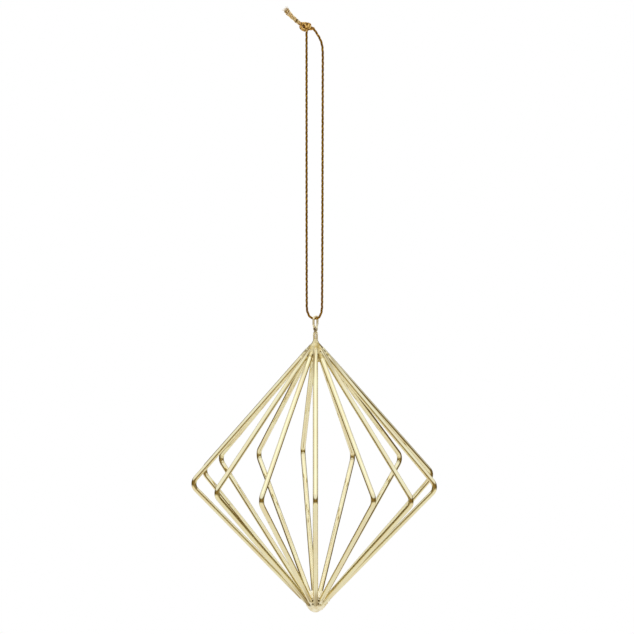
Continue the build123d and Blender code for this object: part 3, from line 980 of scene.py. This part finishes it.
def build_cords():
    """The loop with its line's points, the knot, and the two ends with their fibres."""
    tree = cord_tree()
    frays = fray_tree()
    loop_line = route("loop_line", LOOP_ROUTE)
    points = route_points(loop_line)
    loop = build_cord(tree, "cord_loop_run", loop_line, cord_bronze)
    knot_line = route("knot_line", knot_route())
    knot = build_cord(tree, "overhand_knot", knot_line, knot_gold, KNOT_PLIES, KNOT_PLY_OFFSET,
                      KNOT_PLY_PITCH)
    lines = [loop_line, knot_line]
    tails = {}
    for seed, (name, tail_route) in enumerate(TAILS.items()):
        line = route(f"{name}_line", tail_route)
        lines.append(line)
        tails[name] = [
            build_cord(tree, name, line, tail_gold, flare=TAIL_FLARE),
            build_fray(frays, f"{name}_fray", line, seed),
        ]
    for line in lines:
        bpy.data.objects.remove(line)
    return loop, points, knot, tails


# Stage

def build_floor():
    """Pale round floor below the ornament that fades into the white background."""
    disc = bmesh.new()
    bmesh.ops.create_circle(disc, cap_ends=True, segments=FLOOR_SEGMENTS, radius=FLOOR_RADIUS,
                            matrix=Matrix.Translation((0, 0, FLOOR_Z)))
    data = mesh_from(disc, "floor")
    even = {"Base Color": FLOOR_COLOUR, "Roughness": FLOOR_ROUGHNESS}
    material, tree, surface = new_material("pale_floor", even)
    flat = vector_calc(tree, "MULTIPLY", coordinates(tree, "Object"), (1.0, 1.0, 0.0))
    distance = add(tree, "ShaderNodeVectorMath", {0: flat}, operation="LENGTH").outputs["Value"]
    near, far = FLOOR_FADE
    rim = ramped(tree, distance, near * FLOOR_RADIUS, far * FLOOR_RADIUS, 0.0, 1.0)
    fade = calc(tree, "MULTIPLY", rim, camera_rays(tree))
    white = add(tree, "ShaderNodeEmission", {"Strength": 1.0}).outputs[0]
    faded = add(tree, "ShaderNodeMixShader", {0: fade, 1: surface.outputs[0], 2: white}).outputs[0]
    tree.links.new(faded, tree.nodes["Material Output"].inputs["Surface"])
    data.materials.append(material)
    link(bpy.data.objects.new("floor", data))


def build_world():
    """Studio round the ornament: white ceiling and floor with a dim warm band of room between them."""
    world = bpy.data.worlds.new("studio")
    bpy.context.scene.world = world
    world.use_nodes = True
    tree = world.node_tree
    direction = parts(tree, coordinates(tree, "Generated"))
    height = calc(tree, "MULTIPLY_ADD", direction["Z"], 0.5, 0.5)
    room = add(tree, "ShaderNodeValToRGB", {"Fac": height})
    stops = room.color_ramp.elements
    stops.remove(stops[0])
    lowest, floor_light = STUDIO[0]
    stops[0].position = lowest / 2 + 0.5
    stops[0].color = (*floor_light, 1.0)
    for level, light in STUDIO[1:]:
        stops.new(level / 2 + 0.5).color = (*light, 1.0)
    frontward = ramped(tree, direction["Y"], *STUDIO_FRONT_REACH, 0.0, 1.0)
    lit = mixed(tree, frontward, room.outputs["Color"], STUDIO_FRONT, "LIGHTEN")
    colour = mixed(tree, camera_rays(tree), lit, WHITE)
    tree.links.new(colour, tree.nodes["Background"].inputs["Color"])


def build_lamp():
    """Soft square lamp above that faces the middle of the ornament."""
    data = bpy.data.lights.new("top_lamp", "AREA")
    data.size = LAMP_SIZE
    data.energy = LAMP_POWER
    lamp = link(bpy.data.objects.new("top_lamp", data))
    lamp.location = LAMP_PLACE
    lamp.rotation_euler = (Vector(VIEW_TARGET) - Vector(LAMP_PLACE)).to_track_quat("-Z", "Y").to_euler()


def build_camera():
    """Camera a little above the middle of the ornament, looking down at it."""
    data = bpy.data.cameras.new("camera")
    data.sensor_width = SENSOR
    data.lens = LENS
    camera = link(bpy.data.objects.new("camera", data))
    back = Vector((0.0, -cos(radians(VIEW_ELEVATION)), sin(radians(VIEW_ELEVATION))))
    camera.location = Vector(VIEW_TARGET) + back * VIEW_DISTANCE
    camera.rotation_euler = (-back).to_track_quat("-Z", "Y").to_euler()
    bpy.context.scene.camera = camera


build_camera()
build_world()
build_floor()
build_lamp()
bpy.context.scene.view_settings.view_transform = "Standard"

loop, loop_points, knot, tails = build_cords()
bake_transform(loop)
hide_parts("cord_left_strand", "cord_right_strand", "cord_bight")
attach(knot, "cord_loop")
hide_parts("cord_knot")
for name, pieces in tails.items():
    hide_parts(f"cord_{name}")
    for piece in pieces:
        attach(piece, "cord_loop")

for node, rib in build_ribs().items():
    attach(rib, "cage")
    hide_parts(node)

eye = build_eye()
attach(eye, "cage")
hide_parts("hanging_eye")

for node, apex_z, beyond, section, beads, spots, material in (
    ("top_braze", UPPER_APEX_Z, 1, TOP_SECTION, TOP_BEADS, TOP_FLUX_AND_SHADE, braze_gold),
    ("bottom_braze", LOWER_APEX_Z, -1, NOSE_SECTION, NOSE_BEADS, NOSE_FLUX_AND_SHADE, braze_pale),
):
    braze = build_braze(f"melted_{node}", apex_z, beyond, section, beads, spots, material)
    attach(braze, "cage")
    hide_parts(node)
